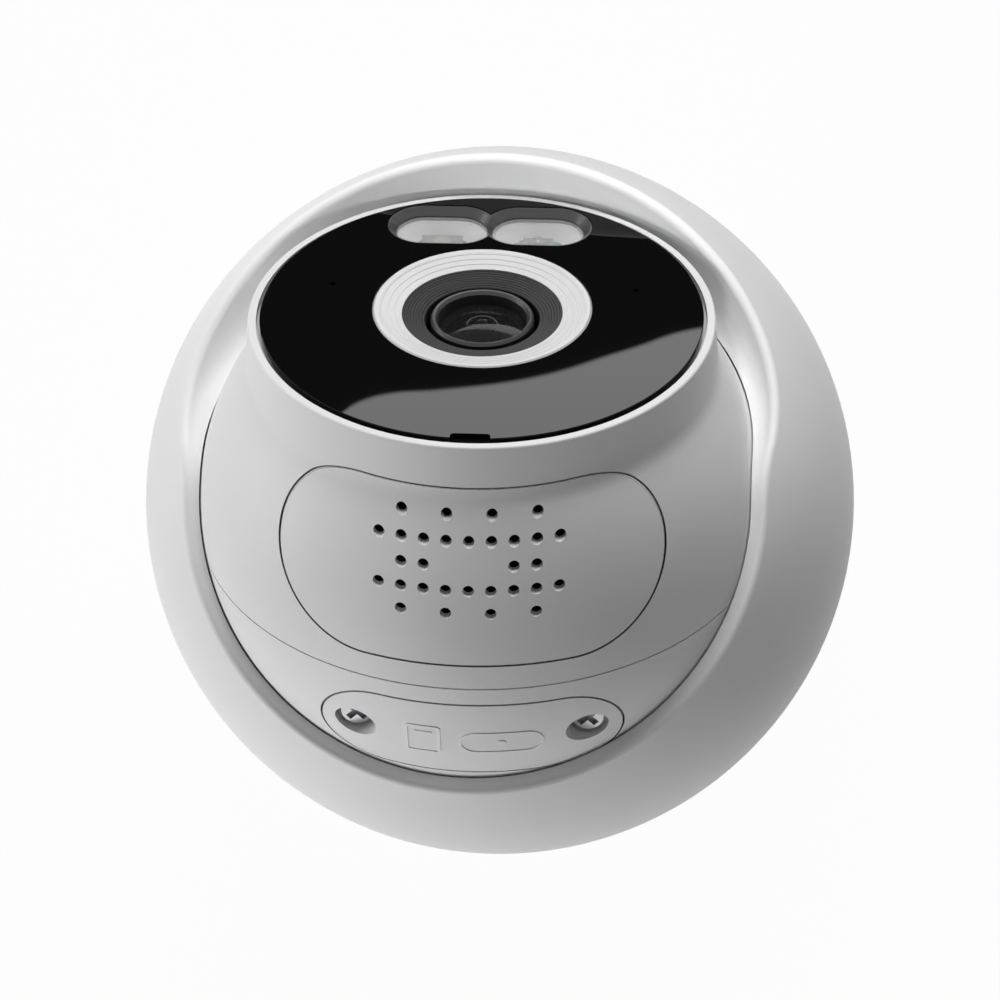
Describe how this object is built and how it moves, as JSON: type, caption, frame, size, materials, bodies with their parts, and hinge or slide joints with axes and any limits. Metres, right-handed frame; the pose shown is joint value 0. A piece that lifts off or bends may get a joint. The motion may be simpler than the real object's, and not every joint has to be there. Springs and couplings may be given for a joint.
{
  "type": "wireless security camera",
  "caption": "Round white security camera: a ball with a flat glass face, lens ring and lamp windows, tilting in a scooped collar on a wall or ceiling plate.",
  "frame": {"origin": "centre of the mounting face of the plate", "axes": "+Z away from the wall or ceiling, -Y the way the scoop of the collar faces, X along the tilt axis"},
  "size_m": [0.11, 0.11, 0.0977],
  "materials": {
    "white_shell": "fine matt moulded",
    "lens_ring_white": "satin",
    "smoked_glass": "polished, smoked",
    "lens_glass": "coated lens",
    "lamp_diffuser": "frosted",
    "reflector_white": "moulded white",
    "black_plastic": "fine matt",
    "grey_nylon": "moulded",
    "rubber_black": "matt",
    "spring_steel": "rolled",
    "screw_steel": "zinc plated",
    "cover_screw_steel": "nickel plated",
    "spindle_brass": "turned",
    "board_green": "solder mask",
    "board_black": "moulded package",
    "heat_sink_aluminium": "anodised",
    "led_package": "moulded package",
    "paper_cone": "pressed"
  },
  "bodies": {
    "base": {"mount_gasket": "rubber_black", "mount_plate": "white_shell", "glide_ring": "grey_nylon", "pan_wave_washer": "spring_steel", "pan_retainer": "spring_steel", "retainer_screws": "screw_steel", "power_jack": "black_plastic"},
    "swivel": {"swivel_ring": "grey_nylon", "cradle_posts": "black_plastic", "post_screws": "screw_steel", "tilt_bushes": "grey_nylon", "tilt_washers": "grey_nylon"},
    "shell": {"outer_shell": "white_shell", "shell_screws": "screw_steel"},
    "cradle": {"tilt_yoke": "grey_nylon", "tilt_pins": "spring_steel", "spindle_bush": "grey_nylon", "spin_washer": "grey_nylon"},
    "ball": {"rear_spindle": "grey_nylon", "spindle_nut": "spindle_brass", "ball_front_shell": "white_shell", "ball_rear_shell": "white_shell", "shell_seal": "rubber_black", "ball_screws": "screw_steel", "front_glass": "smoked_glass", "glass_tape": "rubber_black", "lens_ring": "lens_ring_white", "lens_baffle": "black_plastic", "lens_barrel": "black_plastic", "front_lens": "lens_glass", "rear_lens": "lens_glass", "lens_holder": "black_plastic", "ir_cut_filter": "lens_glass", "image_sensor": "board_black", "sensor_board": "board_green", "window_frame": "black_plastic", "lamp_windows": "lamp_diffuser", "lamp_reflectors": "reflector_white", "lamp_board": "board_green", "white_led": "led_package", "infrared_led": "led_package", "microphone": "black_plastic", "light_sensor": "led_package", "speaker_panel": "white_shell", "speaker_driver": "black_plastic", "speaker_cone": "paper_cone", "speaker_gasket": "rubber_black", "main_board": "board_green", "board_screws": "screw_steel", "heat_sink": "heat_sink_aluminium", "wifi_module": "board_black", "wifi_antenna": "board_black", "sensor_ribbon": "board_black", "card_socket": "black_plastic", "reset_switch": "grey_nylon", "card_cover": "white_shell", "cover_gasket": "rubber_black", "cover_screws": "cover_screw_steel"},
    "card": {"micro_sd_card": "black_plastic"},
    "reset": {"reset_button": "grey_nylon"}
  },
  "joints": [
    {"name": "pan_joint", "type": "hinge", "parent": "base", "child": "swivel", "pos_m": [0, 0, 0.0065], "axis": [0, 0, 1], "range_deg": [-170, 170]},
    {"name": "collar_turn", "type": "hinge", "parent": "swivel", "child": "shell", "pos_m": [0, 0, 0.03], "axis": [0, 0, 1], "range_deg": [-10, 2]},
    {"name": "tilt_joint", "type": "hinge", "parent": "swivel", "child": "cradle", "pos_m": [0, 0, 0.0508], "axis": [1, 0, 0], "range_deg": [-60, 0]},
    {"name": "spin_joint", "type": "hinge", "parent": "cradle", "child": "ball", "pos_m": [0, 0, 0.0508], "axis": [0, -0.8171, 0.5764], "range_deg": [-90, 90]},
    {"name": "card_push", "type": "slide", "parent": "ball", "child": "card", "axis": [0.0993, -0.5736, -0.8131], "range_m": [0, 0.0008], "stiffness_N_per_m": 300, "springref_m": -0.0006},
    {"name": "reset_push", "type": "slide", "parent": "ball", "child": "reset", "axis": [0.0993, -0.5736, -0.8131], "range_m": [0, 0.0004], "stiffness_N_per_m": 500, "springref_m": -0.0004}
  ]
}
